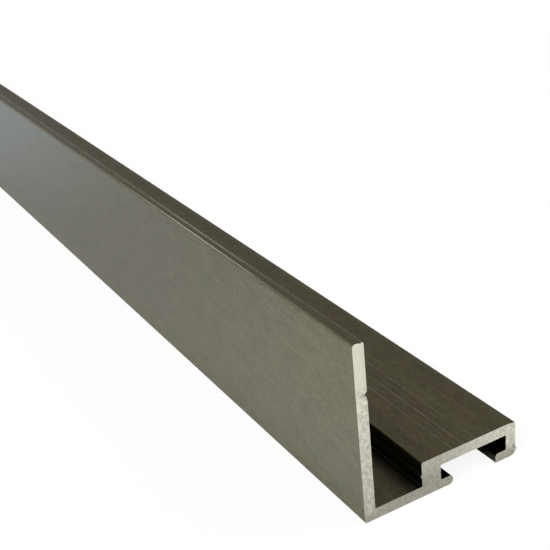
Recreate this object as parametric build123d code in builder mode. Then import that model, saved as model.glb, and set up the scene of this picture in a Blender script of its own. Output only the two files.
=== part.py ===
"""Aluminium edge profile: a tall leg, a narrow pocket beside it and a slotted channel, all one
extrusion cut square at both ends.

Frame: X runs along the bar, Y across it from the leg to the channel, and Z points up.
The origin is in the middle of the bar's base. Every length is in millimetres.
"""

import os

from build123d import *

# Stock length
bar_length = 1000.0

# Tall leg: its top falls from the rounded outer edge to a low bead along the inner edge
leg_height = 40.0
leg_wall = 2.5
leg_edge_radius = 0.7
leg_edge_flat = 0.15
heel_radius = 0.35
bead_width = 0.6
bead_drop = 0.15
bead_rise = 0.1
bead_crest_radius = 0.25
bead_radius = 0.35

# Drill groove along the leg's inner face, placed from the top of the leg: a V that runs out
# below in a long shallow slope
groove_drop = 11.3
groove_depth = 0.8
groove_above = 0.7
groove_slope_drop = 0.35
groove_slope_depth = 0.25
groove_below = 1.3

# Pocket between the leg and the post
pocket_width = 11.4
floor_thickness = 2.5

# Post, with a small grip rib that faces the pocket
post_thickness = 4.6
post_edge_radius = 0.4
rib_rise = 2.5
rib_depth = 0.35
rib_half_height = 0.5

# Channel with two lips that leave a slot open to the base
step_height = 8.2
plate_thickness = 2.5
chamber_width = 16.8
lip_thickness = 2.1
inner_lip_reach = 3.0
inner_nose_flat = 0.1
outer_lip_reach = 2.8
outer_nose_radius = 0.7

# Outer wall: its top falls away to the edge, and a nick parts it from the toe at its foot
outer_wall = 2.5
fall_run = 1.8
fall_drop = 0.3
foot_radius = 1.6
toe_flat = 0.2
toe_overhang = 0.2
nick_depth = 0.3
nick_floor_rise = 0.05
nick_rise = 0.7

# Small radii left by the die
inside_radius = 0.3
edge_radius = 0.1

# Distances across the section, from the leg's outer face
post_inner = leg_wall + pocket_width
post_outer = post_inner + post_thickness
inner_lip_tip = post_outer + inner_lip_reach
wall_inner = post_outer + chamber_width
outer_lip_tip = wall_inner - outer_lip_reach
wall_outer = wall_inner + outer_wall
bar_width = wall_outer + toe_overhang

# Heights in the section, from the base
bead_top = leg_height - bead_drop
bead_foot = bead_top - bead_rise
groove_height = leg_height - groove_drop
groove_slope_height = groove_height - groove_slope_drop
rib_height = floor_thickness + rib_rise
ceiling = step_height - plate_thickness
toe_height = foot_radius + toe_flat
nick_floor = toe_height + nick_floor_rise
nick_top = toe_height + nick_rise

# The inner lip's nose is rounded from both sides, down to a narrow flat
inner_nose_radius = (lip_thickness - inner_nose_flat) / 2

# Each corner of the section: distance across, height and radius, once round from the heel
corners = (
    (0, 0, heel_radius),
    (inner_lip_tip, 0, inner_nose_radius),
    (inner_lip_tip, lip_thickness, inner_nose_radius),
    (post_outer, lip_thickness, inside_radius),
    (post_outer, ceiling, inside_radius),
    (wall_inner, ceiling, inside_radius),
    (wall_inner, lip_thickness, inside_radius),
    (outer_lip_tip, lip_thickness, outer_nose_radius),
    (outer_lip_tip, 0, edge_radius),
    (bar_width, 0, foot_radius),
    (bar_width, toe_height, edge_radius),
    (wall_outer - nick_depth, nick_floor, 0),
    (wall_outer, nick_top, 0),
    (wall_outer, step_height - fall_drop, edge_radius),
    (wall_outer - fall_run, step_height, 0),
    (post_inner, step_height, post_edge_radius),
    (post_inner, floor_thickness, inside_radius),
    (leg_wall, floor_thickness, inside_radius),
    (leg_wall, bead_top, bead_radius),
    (leg_wall - bead_width + bead_rise, bead_top, bead_crest_radius),
    (leg_wall - bead_width, bead_foot, 0),
    (leg_edge_radius + leg_edge_flat, leg_height, 0),
    (0, leg_height, leg_edge_radius),
)

# The sawn end from which the bar is drawn out: local x runs across it and local y up
sawn_end = Plane(origin=(-bar_length / 2, -bar_width / 2, 0), x_dir=(0, 1, 0), z_dir=(1, 0, 0))

with BuildPart() as profile_bar:
    with BuildSketch(sawn_end) as section:
        with BuildLine() as outline:
            FilletPolyline(
                *[(across, height) for across, height, radius in corners],
                radius=[radius for across, height, radius in corners],
                close=True,
            )
        make_face()
        # Drill groove in the leg's inner face
        Polygon(
            (leg_wall, groove_height + groove_above),
            (leg_wall - groove_depth, groove_height),
            (leg_wall - groove_slope_depth, groove_slope_height),
            (leg_wall, groove_height - groove_below),
            align=None,
            mode=Mode.SUBTRACT,
        )
        # Grip rib on the post
        Polygon(
            (post_inner, rib_height - rib_half_height),
            (post_inner, rib_height + rib_half_height),
            (post_inner - rib_depth, rib_height),
            align=None,
        )
    extrude(amount=bar_length)
profile_bar.part.label = "profile_bar"

os.makedirs("parts", exist_ok=True)
export_step(profile_bar.part, "parts/profile_bar.step")
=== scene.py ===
"""Finish and studio for a bar of aluminium edge profile.

The bar is one length of extrusion with a satin bronze anodised skin and two raw sawn ends. Its
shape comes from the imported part, and this file gives it its surface, a floor, soft light and a
camera. It is laid out as an add-on and runs as a script.

X runs along the bar, Y across it from the tall leg to the slotted channel, and Z points up.
Lengths are in metres, except that places in the section are in millimetres where a comment says
so. The part's base lies on the floor at zero height.
"""

from typing import NamedTuple

import bpy
from mathutils import Matrix, Vector


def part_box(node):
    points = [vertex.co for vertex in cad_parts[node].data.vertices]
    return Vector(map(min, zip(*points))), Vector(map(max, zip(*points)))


bl_info = {
    "name": "Edge Profile Bar",
    "version": (1, 0, 0),
    "blender": (4, 5, 0),
    "location": "View3D > Sidebar > Edge Profile",
    "description": "Finishes a bar of aluminium edge profile and sets a plain studio around it",
    "category": "Object",
}

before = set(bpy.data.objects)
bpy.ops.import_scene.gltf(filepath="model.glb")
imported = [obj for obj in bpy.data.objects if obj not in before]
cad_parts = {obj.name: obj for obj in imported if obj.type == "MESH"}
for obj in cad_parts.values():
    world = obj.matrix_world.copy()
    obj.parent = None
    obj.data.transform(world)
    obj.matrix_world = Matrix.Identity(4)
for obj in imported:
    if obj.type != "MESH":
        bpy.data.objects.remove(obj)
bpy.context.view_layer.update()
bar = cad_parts["profile_bar"]
bar_low, bar_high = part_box("profile_bar")

MM = 0.001


class Pattern(NamedTuple):
    """A noise: its patches to a metre along, across and up, and the span stretched to 0 and 1."""

    patches: tuple
    detail: float
    span: tuple
    roughness: float = 0.5
    shift: tuple = (0.0, 0.0, 0.0)
    smooth: bool = False


class Strip(NamedTuple):
    """A strip of the section in millimetres: its middle, half its width and its soft edge."""

    middle: float
    half: float
    soft: float


class Climb(NamedTuple):
    """Where a soft change starts and where it ends, in millimetres."""

    start: float
    end: float


class Lamp(NamedTuple):
    """A soft lamp: where it hangs, its two sides, its power in watts and its colour."""

    name: str
    place: tuple
    sides: tuple
    power: float
    colour: tuple


# Faces of the section in millimetres, across from the leg's outer face and up from the base
LEG_WALL = 2.5
POST_INNER = 13.9
POST_OUTER = 18.5
CHAMBER_OUTER = 35.3
CHAMBER_CEILING = 5.7
PLATE_TOP = 8.2
LEG_TOP = bar_high.z / MM

# How far a painted area reaches past the face that bounds it, in millimetres
FACE_SLACK = 0.05

# How near to the base or to a sawn end a point counts as part of it, in millimetres
BASE_DEPTH = 0.15
CUT_DEPTH = 0.01

# Every pattern runs from 0 to 1 about this middle
PATTERN_MIDDLE = 0.5

# Patterns of the skin
CLOUDS = Pattern((140, 380, 380), 4.0, (0.25, 0.75))
HUES = Pattern((150, 300, 300), 3.0, (0.35, 0.65), shift=(7.0, 0.0, 0.0), smooth=True)
STREAKS = Pattern((1400, 160, 160), 2.0, (0.25, 0.75))
BRUSHING = Pattern((110, 100, 2600), 3.0, (0.25, 0.75))
GRAIN_DETAIL = 2.0
GRAIN_ROUGHNESS = 0.6
GRAIN_SPAN = (0.25, 0.75)
GRAIN_STRETCH = 2.4

# The skin's tone, what each pattern does to it, and how much of its colour the hues make up
SKIN_TONE = 0.61
CLOUD_TONE = 0.26
GRAIN_TONE = 0.42
STREAK_TONE = 0.10
BRUSHED_TONE = 0.08
BRUSHED_EDGE_TONE = 0.24
HUE_SHARE = 0.5

# A small drop in the skin's roughness, and what the patterns add to it
ROUGHNESS_DROP = 0.04
CLOUD_ROUGHNESS = 0.03
GRAIN_BITE = 0.04

# The leg's face, brushed most near its head and foot, in millimetres
LEG_FACE_DEPTH = 0.5
BRUSHED_HEAD = Climb(30.0, 37.0)
BRUSHED_FOOT = Climb(4.0, 9.0)

# The leg's top, which hands rub smooth, and the bead along it, in millimetres
RUBBED_TOP = Climb(LEG_TOP - 0.35, LEG_TOP - 0.15)
RUBBED_SLACK = 0.1
BEAD = Strip(2.1, 0.3, 0.1)
# Painted shade along the bead, which dims its reflection
BEAD_DARKER = 0.14
BEAD_SMOOTHER = 0.06
RUBBED_GRAIN_LOSS = 0.8
RUBBED_RELIEF_LOSS = 0.9

# Die lines on the plate: millimetres from the leg's outer face, and how clear each one is
PLATE_LINES = (
    (15.6, 0.15),
    (17.8, 0.2),
    (21.6, 0.7),
    (24.4, 0.95),
    (27.4, 0.85),
    (29.6, 0.25),
    (32.6, 0.2),
)
PLATE_FACE = Strip(PLATE_TOP, 0.1, 0.1)
LINE_FADES = Pattern((60, 900, 0), 3.0, (0.4, 0.62), smooth=True)
LINE_DASHES = Pattern((330, 1500, 0), 2.0, (0.42, 0.62), shift=(0.0, 0.0, 5.0), smooth=True)
LINE_CLEAR = 0.12
LINE_FADE_GAIN = 0.55
LINE_DASH_GAIN = 0.75
LINE_COVER = 0.75
FLANK_WIDTHS = 4
FLANK_DARKER = 0.17

# Painted shade in the pocket, the channel and the groove, and strips of the plate painted darker
# or paler: where, in millimetres, and by how much
POCKET_RIM = Climb(6.5, 8.1)
POCKET_FLOOR = Climb(8.0, 12.0)
POCKET_FLOOR_DARKER = 0.26
POST_FOOT = Climb(12.2, 13.6)
POST_FOOT_DARKER = 0.74
CHANNEL_DARKER = 0.75
GROOVE_ACROSS = Strip(1.9, 0.5, 0.1)
GROOVE_HEIGHT = Strip(28.6, 0.6, 0.2)
GROOVE_DARKER = 0.7
BY_POCKET = Strip(15.8, 0.7, 2.4)
BY_POCKET_DARKER = 0.16
PALE_RUN = Strip(28.9, 1.0, 0.8)
PALE_RUN_LIGHTER = 0.07
OUTER_RUN = Climb(31.5, 34.5)
OUTER_RUN_DARKER = 0.05

# Painted shade on the raw metal: brightest high on the leg, and darker towards the base and the
# post
LEG_CUT_TONE = 0.48
LEG_HEEL = Climb(0.8, 2.2)
LEG_HEEL_GAIN = 0.20
LEG_RISE = Climb(2.0, 32.0)
LEG_RISE_GAIN = 0.34
STEP_CUT_TONE = 0.515
POST_RISE = Climb(3.0, 8.0)
POST_RISE_GAIN = 0.14
WALL_RISE = Climb(0.3, 4.0)
WALL_FOOT_GAIN = 0.01
WALL_RISE_GAIN = 0.355
OUTWARD = Climb(14.0, 36.0)
PAST_LEG = Climb(1.5, 4.5)

# Patterns of the raw metal
SAW_STROKE_STRETCH = 12
SAW_STROKE_DETAIL = 3.0
SAW_STROKE_SPAN = (0.3, 0.7)
CUT_PATCHES_ALONG = 50
MOTTLE = Pattern((CUT_PATCHES_ALONG, 1100, 900), 4.0, (0.32, 0.68), 0.65, smooth=True)
SPECKS = Pattern((CUT_PATCHES_ALONG, 3200, 3200), 1.0, (0.54, 0.66), smooth=True)
CUT_TONE = 0.98
STROKE_TONE = 0.05
MOTTLE_TONE = 0.08
LOWER_MOTTLE_TONE = 0.40
LOWER_LEG = Climb(29.0, 31.0)
PAST_LEG_MOTTLE_LOSS = 0.40
WALL_MOTTLE_TONE = 0.14
WALL_MOTTLE = Climb(30.0, 36.0)
MOTTLE_ROUGHNESS = 0.2
PIT_SLOPE = 2

# Torn metal with pits: by the groove, below it and towards the base. A clean rim is left along
# the leg's outer face
TORN_BY_GROOVE = Strip(29.0, 0.7, 1.0)
TORN_BELOW_GROOVE = Strip(24.8, 0.4, 0.8)
TORN_BELOW_GROOVE_SHARE = 0.5
TORN_FOOT = Climb(2.5, 6.0)
TORN_FOOT_SHARE = 0.6
CLEAN_RIM = 0.6
PIT_DARKER = 0.40

# Dark mark painted by the nick in the outer wall
NICK_MARK_ACROSS = Strip(37.35, 0.12, 0.2)
NICK_MARK_HEIGHT = Strip(2.25, 0.25, 0.3)
NICK_MARK_DARKER = 0.4

# Tone of the floor that the bar mirrors, from the far end to the near one: daylight, a duller
# stretch, and then lamplight by the near end
FLOOR_TONES = (
    (0.30, (1.00, 1.00, 1.00)),
    (0.68, (0.99, 1.04, 1.18)),
    (0.75, (0.857, 0.867, 0.928)),
    (0.81, (0.783, 0.762, 0.783)),
    (0.87, (0.855, 0.818, 0.837)),
    (0.94, (1.04, 1.007, 0.986)),
    (0.98, (1.10, 1.09, 1.09)),
)

# The mirrored floor is duller close to the bar's sides, in millimetres from its box
BAR_SHADE = Climb(2.0, 30.0)
BAR_SHADE_TONE = 0.94
BAR_SHADE_GAIN = 0.13

# The pale wall is on the leg's side, towards the far end, and fades out over these spans of a
# unit direction's Z, Y and X
WALL_UP = (0.2, 0.9)
WALL_SIDE = (-0.2, 0.25)
WALL_FAR = (-0.6, 0.0)

# Every lamp faces the bar's near end
LAMP_AIM = (bar_high.x, 0.0, 0.02)
LAMPS = (
    Lamp("key_lamp", (1.6, -2.2, 2.4), (2.0, 2.0), 110.0, (1.0, 0.985, 0.96)),
    Lamp("fill_lamp", (1.4, 2.2, 2.4), (2.0, 2.0), 60.0, (0.98, 0.99, 1.0)),
    Lamp("edge_lamp", (-0.930, -0.045, 0.880), (0.7, 0.12), 1.0, (0.80, 0.80, 1.0)),
)

# The camera stands past the near end, on the leg's side, and looks down the bar
CAMERA_PLACE = (0.6439, -0.10668, 0.1364)
CAMERA_RIGHT = (0.49594, 0.86285, -0.09768)
CAMERA_UP = (-0.33384, 0.29330, 0.89584)
CAMERA_SENSOR = 36.0
CAMERA_NEAREST = 0.01
CAMERA_FARTHEST = 100.0

WHITE = (1.0, 1.0, 1.0, 1.0)

# The colour sockets of a Mix node, by number because it has several of each name
MIX_FACTOR = 0
MIX_FIRST = 6
MIX_SECOND = 7
MIX_RESULT = 2


class Wire:
    """One output of a node. Arithmetic on it adds the Math nodes that work it out."""

    def __init__(self, paint, socket):
        self.paint = paint
        self.socket = socket

    def __add__(self, other):
        return self.paint.math("ADD", self, other)

    __radd__ = __add__

    def __sub__(self, other):
        return self.paint.math("SUBTRACT", self, other)

    def __rsub__(self, other):
        return self.paint.math("SUBTRACT", other, self)

    def __mul__(self, other):
        return self.paint.math("MULTIPLY", self, other)

    __rmul__ = __mul__

    def __abs__(self):
        return self.paint.math("ABSOLUTE", self)

    def __gt__(self, other):
        return self.paint.math("GREATER_THAN", self, other)

    def __lt__(self, other):
        return self.paint.math("LESS_THAN", self, other)

    def sibling(self, name):
        """Another output of the node that this one comes from."""
        return Wire(self.paint, self.socket.node.outputs[name])


class Paint:
    """A node tree, emptied, with one method that adds any node to it."""

    def __init__(self, tree):
        self.tree = tree
        self.tree.nodes.clear()

    def add(self, kind, settings=None, sockets=None, output=0):
        """A node of this kind: its settings first, and then values or wires for its sockets."""
        node = self.tree.nodes.new(kind)
        for name, value in (settings or {}).items():
            if name == "stops":
                self.set_stops(node.color_ramp, value)
            else:
                setattr(node, name, value)
        for name, value in (sockets or {}).items():
            if isinstance(value, Wire):
                self.tree.links.new(value.socket, node.inputs[name])
            else:
                node.inputs[name].default_value = value
        return Wire(self, node.outputs[output]) if len(node.outputs) else node

    def set_stops(self, ramp, stops):
        """Stops of a colour ramp, each a position and a colour."""
        while len(ramp.elements) < len(stops):
            ramp.elements.new(1.0)
        for element, (position, colour) in zip(ramp.elements, stops):
            element.position = position
            element.color = (*colour, 1.0)

    def math(self, operation, *values):
        """A Math node that works on these values."""
        return self.add("ShaderNodeMath", {"operation": operation}, dict(enumerate(values)))

    def ease(self, value, start, end):
        """Runs smoothly from 0 where the value is at start to 1 where it is at end."""
        return self.add(
            "ShaderNodeMapRange",
            {"interpolation_type": "SMOOTHSTEP"},
            {"Value": value, "From Min": start, "From Max": end},
        )

    def ramp(self, value, start, end):
        """Runs evenly from 0 where the value is at start to 1 where it is at end."""
        return self.add(
            "ShaderNodeMapRange", None, {"Value": value, "From Min": start, "From Max": end}
        )

    def tint(self, factor, first, second, mode="MIX"):
        """Colour mix: first where the factor is 0 and second where it is 1."""
        return self.add(
            "ShaderNodeMix",
            {"data_type": "RGBA", "blend_type": mode},
            {MIX_FACTOR: factor, MIX_FIRST: first, MIX_SECOND: second},
            output=MIX_RESULT,
        )

    def blend(self, factor, first, second):
        """Shader mix: first where the factor is 0 and second where it is 1."""
        return self.add("ShaderNodeMixShader", None, dict(enumerate((factor, first, second))))

    def shade(self, colour, tone):
        """The colour, made lighter or darker by the tone."""
        return self.tint(1.0, colour, self.point(tone, tone, tone), "MULTIPLY")

    def point(self, x, y, z):
        """A vector or a colour from its three parts."""
        return self.add("ShaderNodeCombineXYZ", None, {"X": x, "Y": y, "Z": z})

    def cloud(self, place, detail, roughness):
        """Soft noise from 0 to 1 that has one patch for each unit of place."""
        return self.add(
            "ShaderNodeTexNoise",
            {"noise_dimensions": "3D"},
            {"Vector": place, "Scale": 1.0, "Detail": detail, "Roughness": roughness},
        )


class Section:
    """Where a point of the bar lies: along it, across it from the leg's outer face, and up."""

    def __init__(self, paint):
        self.paint = paint
        place = paint.add("ShaderNodeTexCoord", output="Object")
        self.along = paint.add("ShaderNodeSeparateXYZ", None, {"Vector": place})
        self.across = self.along.sibling("Y") - bar_low.y
        self.height = self.along.sibling("Z")

    def noise(self, pattern):
        """The pattern on the bar, from 0 to 1."""
        place = []
        runs = (self.along, self.across, self.height)
        for run, patches, shift in zip(runs, pattern.patches, pattern.shift):
            place.append(run * patches + shift)
        cloud = self.paint.cloud(self.paint.point(*place), pattern.detail, pattern.roughness)
        stretch = self.paint.ease if pattern.smooth else self.paint.ramp
        return stretch(cloud, *pattern.span)

    def climb(self, value, climb):
        """Runs smoothly from 0 where the climb starts to 1 where it ends."""
        return self.paint.ease(value, climb.start * MM, climb.end * MM)

    def strip(self, value, strip):
        """1 on the strip, and 0 beyond its soft edge."""
        off_middle = abs(value - strip.middle * MM)
        return 1 - self.paint.ease(off_middle, strip.half * MM, (strip.half + strip.soft) * MM)


def new_paint(name):
    """A new material, and the paint that fills its node tree."""
    material = bpy.data.materials.new(name)
    material.use_nodes = True
    return material, Paint(material.node_tree)


def colour_of(setting):
    """A setting's colour with the alpha that a socket wants."""
    return (*setting, 1.0)


def colour_setting(name, description, default):
    """A property that holds a colour."""
    return bpy.props.FloatVectorProperty(
        name=name,
        description=description,
        subtype="COLOR",
        size=3,
        min=0.0,
        max=1.0,
        default=default,
    )


def length_setting(name, description, default, smallest=0.0):
    """A property that holds a length in metres."""
    return bpy.props.FloatProperty(
        name=name,
        description=description,
        unit="LENGTH",
        subtype="DISTANCE",
        min=smallest,
        default=default,
    )


def share_setting(name, description, default):
    """A property that holds a share from 0 to 1."""
    return bpy.props.FloatProperty(
        name=name,
        description=description,
        subtype="FACTOR",
        min=0.0,
        max=1.0,
        default=default,
    )


class EdgeBarSkin(bpy.types.PropertyGroup):
    """Bronze anodised skin along the bar."""

    colour: colour_setting("Colour", "Colour of the anodised metal", (0.162, 0.159, 0.107))
    green_tint: colour_setting(
        "Greenish patches", "Colour of the skin where it leans to green", (0.154, 0.161, 0.106)
    )
    brown_tint: colour_setting(
        "Brownish patches", "Colour of the skin where it leans to brown", (0.172, 0.155, 0.106)
    )
    roughness: share_setting("Roughness", "How matt the etched skin is", 0.31)
    rubbed_roughness: share_setting(
        "Rubbed roughness", "How matt the skin is where hands have rubbed the leg's top", 0.2
    )
    grazing_tint: colour_setting(
        "Grazing tint",
        "Tone that the oxide gives to reflections along the surface",
        (0.76, 0.78, 0.80),
    )
    grain: length_setting("Grain", "Size of the etched grain", 0.00055, 0.0001)
    grain_depth: length_setting("Grain depth", "Height of the etched grain", 0.000008)
    line_colour: colour_setting(
        "Die line colour", "Colour of the metal that shows in the die lines", (0.29, 0.295, 0.24)
    )
    die_line: length_setting(
        "Die line width",
        "Width of the lines that the die leaves along the plate",
        0.0004,
        0.00005,
    )


class EdgeBarSawnEnd(bpy.types.PropertyGroup):
    """Raw metal of the two sawn ends."""

    colour: colour_setting("Colour", "Colour of the raw aluminium", (0.703, 0.693, 0.600))
    roughness: share_setting("Roughness", "How matt the sawn metal is", 0.55)
    stroke: length_setting(
        "Saw stroke", "Spacing of the marks that the blade leaves", 0.0005, 0.0001
    )
    stroke_depth: length_setting(
        "Stroke depth", "Depth of the marks that the blade leaves", 0.00002
    )


class EdgeBarStudio(bpy.types.PropertyGroup):
    """Floor, light and camera."""

    floor_side: length_setting("Floor side", "Side of the square floor", 40.0, 2.0)
    floor_colour: colour_setting(
        "Floor colour", "Colour of the floor's paint", (0.88, 0.88, 0.88)
    )
    floor_lift: share_setting(
        "Floor lift", "Share of plain white in what the camera sees of the floor", 0.9
    )
    contact: length_setting(
        "Contact shade",
        "How far from the bar the floor that it mirrors stays in its shade",
        0.006,
        0.0001,
    )
    room_colour: colour_setting(
        "Room colour", "Colour of the room around the floor", (0.37, 0.333, 0.292)
    )
    wall_colour: colour_setting(
        "Wall colour",
        "Colour of the low pale wall on the leg's side, towards the far end",
        (0.92, 0.89, 0.88),
    )
    lens: bpy.props.FloatProperty(
        name="Lens",
        description="Focal length for a sensor 36 mm wide",
        unit="CAMERA",
        min=10.0,
        default=70.80,
    )


def die_lines(section, skin):
    """The lines that the die leaves along the plate, and the duller metal beside them."""
    paint = section.paint
    lines = 0.0
    flanks = 0.0
    for place, strength in PLATE_LINES:
        off_line = abs(section.across - place * MM)
        lines += strength * (1 - paint.ease(off_line, 0.0, skin.die_line))
        flanks += strength * (1 - paint.ease(off_line, 0.0, FLANK_WIDTHS * skin.die_line))
    clear = LINE_CLEAR + LINE_FADE_GAIN * section.noise(LINE_FADES)
    clear = clear + LINE_DASH_GAIN * section.noise(LINE_DASHES)
    clear = clear * section.strip(section.height, PLATE_FACE)
    return lines * clear, flanks * clear


def painted_shade_tone(section, bead):
    """1 where the skin is plain, less under painted shade, as in the pocket, and more where the
    plate is painted paler.
    """
    across = section.across
    height = section.height
    off_base = height > BASE_DEPTH * MM

    in_pocket = off_base * (1 - section.climb(height, POCKET_RIM))
    in_pocket = in_pocket * (across > (LEG_WALL - FACE_SLACK) * MM)
    in_pocket = in_pocket * (across < (POST_INNER + FACE_SLACK) * MM)
    pocket = POCKET_FLOOR_DARKER * (1 - section.climb(across, POCKET_FLOOR))
    pocket = pocket + POST_FOOT_DARKER * section.climb(across, POST_FOOT)

    in_channel = off_base * (height < (CHAMBER_CEILING + FACE_SLACK) * MM)
    in_channel = in_channel * (across > (POST_OUTER - FACE_SLACK) * MM)
    in_channel = in_channel * (across < (CHAMBER_OUTER + FACE_SLACK) * MM)

    in_groove = section.strip(across, GROOVE_ACROSS) * section.strip(height, GROOVE_HEIGHT)

    plate = PALE_RUN_LIGHTER * section.strip(across, PALE_RUN)
    plate = plate - BY_POCKET_DARKER * section.strip(across, BY_POCKET)
    plate = plate - OUTER_RUN_DARKER * section.climb(across, OUTER_RUN)

    tone = 1 - in_pocket * pocket - CHANNEL_DARKER * in_channel - GROOVE_DARKER * in_groove
    return tone + plate * section.strip(height, PLATE_FACE) - BEAD_DARKER * bead


def paint_skin(section, skin):
    """Colour, roughness and relief of the anodised skin."""
    paint = section.paint
    across = section.across
    height = section.height
    fine = 1 / skin.grain
    grain_patches = (fine / GRAIN_STRETCH, fine, fine)
    grain = section.noise(Pattern(grain_patches, GRAIN_DETAIL, GRAIN_SPAN, GRAIN_ROUGHNESS))
    clouds = section.noise(CLOUDS)
    lines, flanks = die_lines(section, skin)

    leg_top = section.climb(height, RUBBED_TOP)
    rubbed = leg_top * (across < (LEG_WALL + RUBBED_SLACK) * MM)
    bead = leg_top * section.strip(across, BEAD)

    brushed_edges = section.climb(height, BRUSHED_HEAD) + 1 - section.climb(height, BRUSHED_FOOT)
    brushed = (BRUSHED_TONE + BRUSHED_EDGE_TONE * brushed_edges) * (across < LEG_FACE_DEPTH * MM)

    tone = SKIN_TONE + CLOUD_TONE * clouds
    tone = tone + GRAIN_TONE * (grain + RUBBED_GRAIN_LOSS * rubbed * (PATTERN_MIDDLE - grain))
    tone = tone + STREAK_TONE * section.noise(STREAKS) - FLANK_DARKER * flanks
    tone = tone + brushed * (section.noise(BRUSHING) - PATTERN_MIDDLE)
    # Painted shade in the pocket, the channel, the groove and along the bead, and the plate's
    # darker and paler strips
    tone = tone * painted_shade_tone(section, bead)

    hues = paint.tint(
        section.noise(HUES), colour_of(skin.green_tint), colour_of(skin.brown_tint)
    )
    colour = paint.shade(paint.tint(HUE_SHARE, colour_of(skin.colour), hues), tone)
    colour = paint.tint(LINE_COVER * lines, colour, colour_of(skin.line_colour))

    rough = skin.roughness - ROUGHNESS_DROP + CLOUD_ROUGHNESS * clouds + GRAIN_BITE * grain
    rough = rough + rubbed * (skin.rubbed_roughness - rough) - BEAD_SMOOTHER * bead
    relief = (1 - RUBBED_RELIEF_LOSS * rubbed) * (grain + lines) * skin.grain_depth
    return colour, rough, relief


def cut_painted_shade(section, past_leg):
    """Painted shade on the raw metal: brightest high on the leg, and darker towards the base."""
    across = section.across
    height = section.height
    up_leg = section.paint.ramp(height, LEG_RISE.start * MM, LEG_RISE.end * MM)
    leg = LEG_CUT_TONE + LEG_HEEL_GAIN * section.climb(height, LEG_HEEL) + LEG_RISE_GAIN * up_leg
    post_rise = POST_RISE_GAIN * section.climb(height, POST_RISE)
    wall_rise = WALL_FOOT_GAIN + WALL_RISE_GAIN * section.climb(height, WALL_RISE)
    outward = section.climb(across, OUTWARD)
    step = STEP_CUT_TONE + post_rise + outward * (wall_rise - post_rise)
    return leg + past_leg * (step - leg)


def torn_metal(section):
    """How much the saw has torn the metal: by the groove, below it and towards the base."""
    height = section.height
    torn = section.strip(height, TORN_BY_GROOVE)
    torn = torn + TORN_BELOW_GROOVE_SHARE * section.strip(height, TORN_BELOW_GROOVE)
    torn = torn + TORN_FOOT_SHARE * (1 - section.climb(height, TORN_FOOT))
    return torn * (section.across > CLEAN_RIM * MM)


def paint_cut(section, end):
    """Colour, roughness and relief of the raw metal on the sawn ends."""
    across = section.across
    height = section.height
    fine = 1 / end.stroke
    stroke_patches = (CUT_PATCHES_ALONG, fine, fine / SAW_STROKE_STRETCH)
    strokes = section.noise(
        Pattern(stroke_patches, SAW_STROKE_DETAIL, SAW_STROKE_SPAN, smooth=True)
    )
    mottle = section.noise(MOTTLE)
    pits = section.noise(SPECKS) * torn_metal(section)
    nick_mark = section.strip(across, NICK_MARK_ACROSS) * section.strip(height, NICK_MARK_HEIGHT)

    past_leg = section.climb(across, PAST_LEG)
    lower = 1 - section.climb(height, LOWER_LEG)
    coarse = MOTTLE_TONE + LOWER_MOTTLE_TONE * lower * (1 - PAST_LEG_MOTTLE_LOSS * past_leg)
    coarse = coarse + WALL_MOTTLE_TONE * section.climb(across, WALL_MOTTLE)

    tone = CUT_TONE + STROKE_TONE * (strokes - PATTERN_MIDDLE)
    tone = tone + coarse * (mottle - PATTERN_MIDDLE)
    # Painted shade on the raw metal, darker towards the base, and the dark mark by the nick
    tone = cut_painted_shade(section, past_leg) * (tone - PIT_DARKER * pits) * (1 - NICK_MARK_DARKER * nick_mark)
    colour = section.paint.shade(colour_of(end.colour), tone)
    rough = end.roughness + MOTTLE_ROUGHNESS * (mottle - PATTERN_MIDDLE)
    relief = (strokes + mottle - PIT_SLOPE * pits) * end.stroke_depth
    return colour, rough, relief


def paint_bar(skin, end):
    """The bar's one material: skin along its length and raw metal at its ends."""
    material, paint = new_paint("bronze_anodised_aluminium")
    section = Section(paint)
    skin_colour, skin_rough, skin_relief = paint_skin(section, skin)
    cut_colour, cut_rough, cut_relief = paint_cut(section, end)
    cut = abs(section.along) > bar_high.x - CUT_DEPTH * MM
    relief = (1 - cut) * skin_relief + cut * cut_relief
    bump = paint.add(
        "ShaderNodeBump", None, {"Strength": 1.0, "Distance": 1.0, "Height": relief}
    )
    surface = paint.add(
        "ShaderNodeBsdfPrincipled",
        None,
        {
            "Base Color": paint.tint(cut, skin_colour, cut_colour),
            "Roughness": skin_rough + cut * (cut_rough - skin_rough),
            "Metallic": 1.0,
            "Specular Tint": colour_of(skin.grazing_tint),
            "Normal": bump,
        },
    )
    paint.add("ShaderNodeOutputMaterial", None, {"Surface": surface})
    return material


class EDGEBAR_OT_finish_bar(bpy.types.Operator):
    """Give the bar its anodised skin and its raw sawn ends"""

    bl_idname = "edgebar.finish_bar"
    bl_label = "Finish the bar"

    def execute(self, context):
        scene = context.scene
        if not bar.material_slots:
            raise RuntimeError("the bar has no material slot to paint")
        material = paint_bar(scene.edge_bar_skin, scene.edge_bar_sawn_end)
        for slot in bar.material_slots:
            slot.material = material
        return {"FINISHED"}


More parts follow.
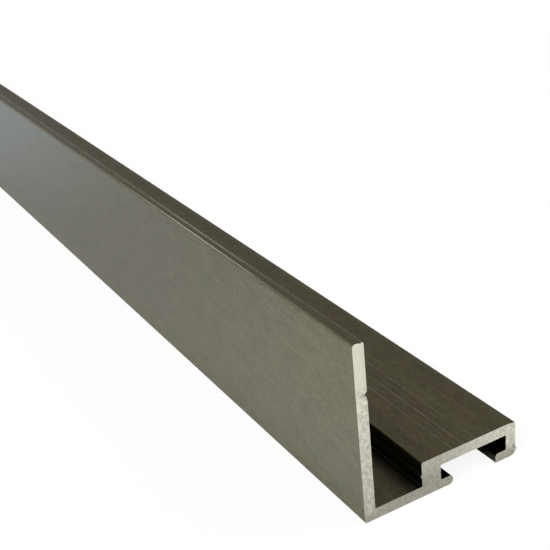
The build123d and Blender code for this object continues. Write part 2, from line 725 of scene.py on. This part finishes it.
def paint_floor(studio):
    """White paint that keeps shadows, with a soft change of tone in what the bar mirrors."""
    material, paint = new_paint("white_floor")
    place = paint.add("ShaderNodeTexCoord", output="Object")
    along = paint.add("ShaderNodeSeparateXYZ", None, {"Vector": place})
    off_end = abs(along) - bar_high.x
    off_side = abs(along.sibling("Y")) - bar_high.y
    clear = paint.ease(paint.math("MAXIMUM", off_end, off_side), 0.0, studio.contact)
    camera = paint.add("ShaderNodeLightPath", output="Is Camera Ray")
    mirrored = paint.math(
        "MAXIMUM", camera.sibling("Is Glossy Ray"), camera.sibling("Is Transmission Ray")
    )
    seen = paint.math("MAXIMUM", camera, mirrored * clear)

    tones = paint.add(
        "ShaderNodeValToRGB",
        {"stops": FLOOR_TONES},
        {"Fac": paint.ramp(along, bar_low.x, bar_high.x)},
    )
    lit = paint.ease(off_side, BAR_SHADE.start * MM, BAR_SHADE.end * MM)
    tones = paint.shade(tones, BAR_SHADE_TONE + BAR_SHADE_GAIN * lit)
    painted = paint.add("ShaderNodeBsdfDiffuse", None, {"Color": colour_of(studio.floor_colour)})
    white = paint.add(
        "ShaderNodeEmission", None, {"Color": paint.tint(mirrored, WHITE, tones), "Strength": 1.0}
    )
    surface = paint.blend(seen * studio.floor_lift, painted, white)
    paint.add("ShaderNodeOutputMaterial", None, {"Surface": surface})
    return material


def lay_floor(studio):
    """A square floor under the bar."""
    half = studio.floor_side / 2
    mesh = bpy.data.meshes.new("floor")
    mesh.from_pydata(
        [(-half, -half, 0), (half, -half, 0), (half, half, 0), (-half, half, 0)],
        [],
        [(0, 1, 2, 3)],
    )
    mesh.materials.append(paint_floor(studio))
    floor = bpy.data.objects.new("floor", mesh)
    bpy.context.scene.collection.objects.link(floor)


def hang_lamp(lamp):
    """A soft lamp that faces the bar's near end, and that the camera can't see."""
    light = bpy.data.lights.new(lamp.name, "AREA")
    light.shape = "RECTANGLE"
    light.size, light.size_y = lamp.sides
    light.energy = lamp.power
    light.color = lamp.colour
    hung_lamp = bpy.data.objects.new(lamp.name, light)
    hung_lamp.location = lamp.place
    hung_lamp.rotation_mode = "QUATERNION"
    facing = Vector(LAMP_AIM) - hung_lamp.location
    hung_lamp.rotation_quaternion = facing.to_track_quat("-Z", "Y")
    hung_lamp.visible_camera = False
    bpy.context.scene.collection.objects.link(hung_lamp)


def light_room(studio):
    """A grey room with a low pale wall towards the far end. The camera sees it as plain white."""
    world = bpy.data.worlds.new("room")
    world.use_nodes = True
    paint = Paint(world.node_tree)
    direction = paint.add("ShaderNodeTexCoord", output="Generated")
    along = paint.add("ShaderNodeSeparateXYZ", None, {"Vector": direction})
    wall = 1 - paint.ease(along.sibling("Z"), *WALL_UP)
    wall = wall * (1 - paint.ramp(along.sibling("Y"), *WALL_SIDE))
    wall = wall * (1 - paint.ease(along, *WALL_FAR))
    colour = paint.tint(wall, colour_of(studio.room_colour), colour_of(studio.wall_colour))
    camera = paint.add("ShaderNodeLightPath", output="Is Camera Ray")
    colour = paint.tint(camera, colour, WHITE)
    background = paint.add("ShaderNodeBackground", None, {"Color": colour, "Strength": 1.0})
    paint.add("ShaderNodeOutputWorld", None, {"Surface": background})
    bpy.context.scene.world = world


def set_camera(studio):
    """The camera, at the photo's place and angle."""
    data = bpy.data.cameras.new("camera")
    data.sensor_width = CAMERA_SENSOR
    data.lens = studio.lens
    data.clip_start = CAMERA_NEAREST
    data.clip_end = CAMERA_FARTHEST
    right = Vector(CAMERA_RIGHT)
    up = Vector(CAMERA_UP)
    turn = Matrix((right, up, right.cross(up))).transposed()
    camera = bpy.data.objects.new("camera", data)
    camera.matrix_world = Matrix.Translation(CAMERA_PLACE) @ turn.to_4x4()
    bpy.context.scene.collection.objects.link(camera)
    bpy.context.scene.camera = camera


class EDGEBAR_OT_build_stage(bpy.types.Operator):
    """Lay the floor, light the room and place the camera"""

    bl_idname = "edgebar.build_stage"
    bl_label = "Build the stage"

    def execute(self, context):
        studio = context.scene.edge_bar_studio
        lay_floor(studio)
        light_room(studio)
        for lamp in LAMPS:
            hang_lamp(lamp)
        set_camera(studio)
        context.scene.view_settings.view_transform = "Standard"
        return {"FINISHED"}


class EDGEBAR_PT_panel(bpy.types.Panel):
    """Sizes and colours of the bar and its studio"""

    bl_label = "Edge Profile Bar"
    bl_space_type = "VIEW_3D"
    bl_region_type = "UI"
    bl_category = "Edge Profile"

    def draw(self, context):
        scene = context.scene
        for settings in (scene.edge_bar_skin, scene.edge_bar_sawn_end, scene.edge_bar_studio):
            box = self.layout.box()
            for name in settings.bl_rna.properties.keys():
                if name not in ("rna_type", "name"):
                    box.prop(settings, name)
        self.layout.operator("edgebar.finish_bar")
        self.layout.operator("edgebar.build_stage")


CLASSES = (
    EdgeBarSkin,
    EdgeBarSawnEnd,
    EdgeBarStudio,
    EDGEBAR_OT_finish_bar,
    EDGEBAR_OT_build_stage,
    EDGEBAR_PT_panel,
)


def register():
    for each in CLASSES:
        bpy.utils.register_class(each)
    bpy.types.Scene.edge_bar_skin = bpy.props.PointerProperty(type=EdgeBarSkin)
    bpy.types.Scene.edge_bar_sawn_end = bpy.props.PointerProperty(type=EdgeBarSawnEnd)
    bpy.types.Scene.edge_bar_studio = bpy.props.PointerProperty(type=EdgeBarStudio)


def unregister():
    del bpy.types.Scene.edge_bar_studio
    del bpy.types.Scene.edge_bar_sawn_end
    del bpy.types.Scene.edge_bar_skin
    for each in reversed(CLASSES):
        bpy.utils.unregister_class(each)


def main():
    register()
    bpy.ops.edgebar.finish_bar()
    bpy.ops.edgebar.build_stage()


if __name__ == "__main__":
    main()
